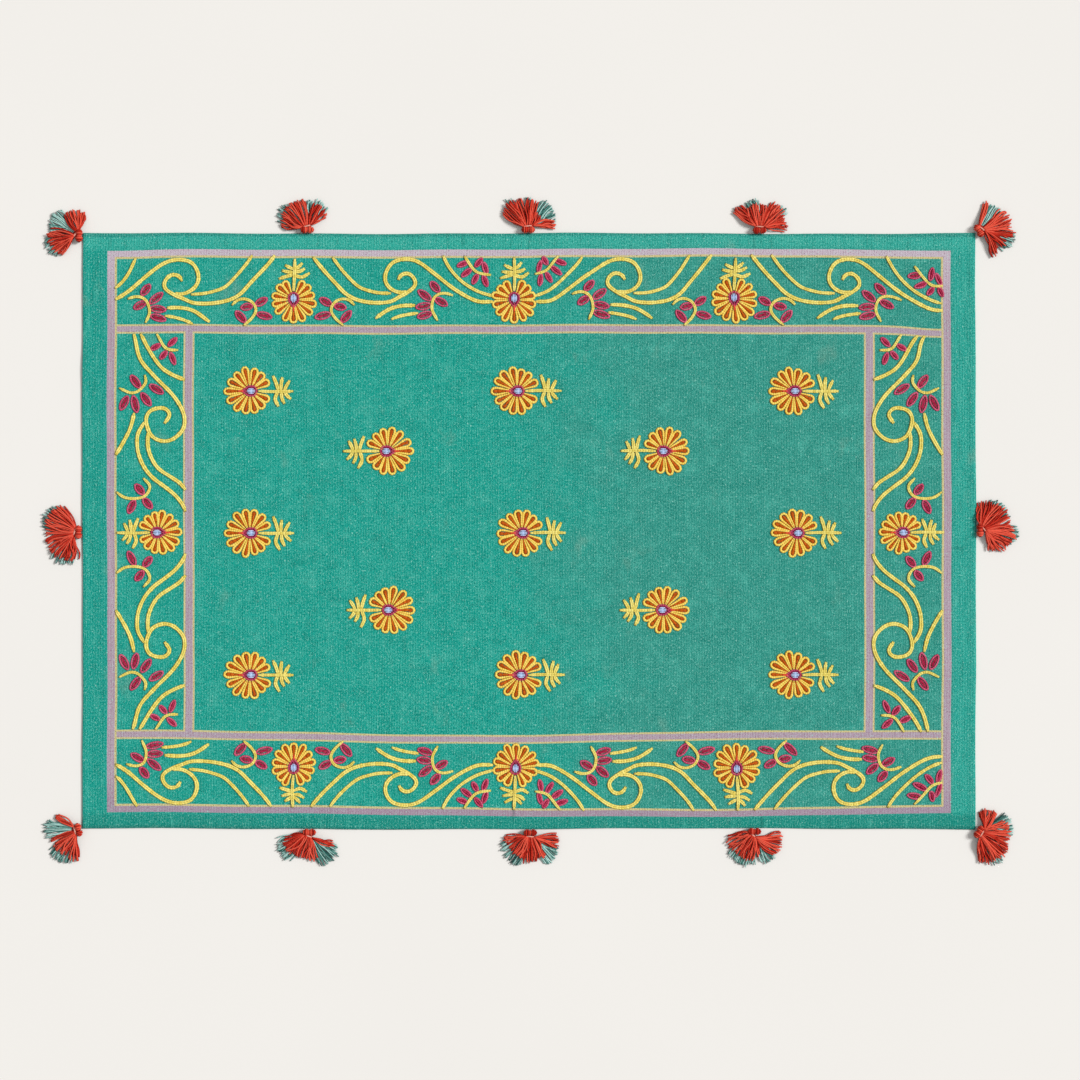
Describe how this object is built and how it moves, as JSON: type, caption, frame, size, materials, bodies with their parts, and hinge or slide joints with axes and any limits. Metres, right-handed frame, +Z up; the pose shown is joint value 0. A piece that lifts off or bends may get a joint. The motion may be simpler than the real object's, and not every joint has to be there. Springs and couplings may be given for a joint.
{
  "type": "cotton kilim",
  "caption": "Flat-woven cotton floor rug in teal with a bordered field, raised yarn flowers and scrolls, and fanned yarn tassels sewn at its corners and along its edges.",
  "frame": {"origin": "middle of the cloth's flat underside", "axes": "+X along the length, +Y towards the back edge, +Z up off the floor"},
  "size_m": [1.9763, 1.3527, 0.0165],
  "materials": {
    "cotton_ground": "matte flat weave with printed border lines",
    "stitch_yarn_yellow": "matte chain-stitched yarn",
    "stitch_yarn_orange": "matte chain-stitched yarn",
    "stitch_yarn_magenta": "matte chain-stitched yarn",
    "stitch_yarn_blue": "matte chain-stitched yarn",
    "tassel_yarn_red": "matte twisted yarn",
    "tassel_yarn_grey_teal": "matte twisted yarn",
    "tassel_tie": "fine pale binding thread"
  },
  "bodies": {
    "root": {"kilim_cloth": "cotton_ground", "tassel_corner_back_left": "tassel_yarn_red", "tassel_back_left": "tassel_yarn_red", "tassel_back_middle": "tassel_yarn_red", "tassel_back_right": "tassel_yarn_red", "tassel_corner_back_right": "tassel_yarn_red", "tassel_right": "tassel_yarn_red", "tassel_corner_front_right": "tassel_yarn_red", "tassel_front_right": "tassel_yarn_red", "tassel_front_middle": "tassel_yarn_red", "tassel_front_left": "tassel_yarn_red", "tassel_corner_front_left": "tassel_yarn_red", "tassel_left": "tassel_yarn_red"}
  },
  "joints": []
}
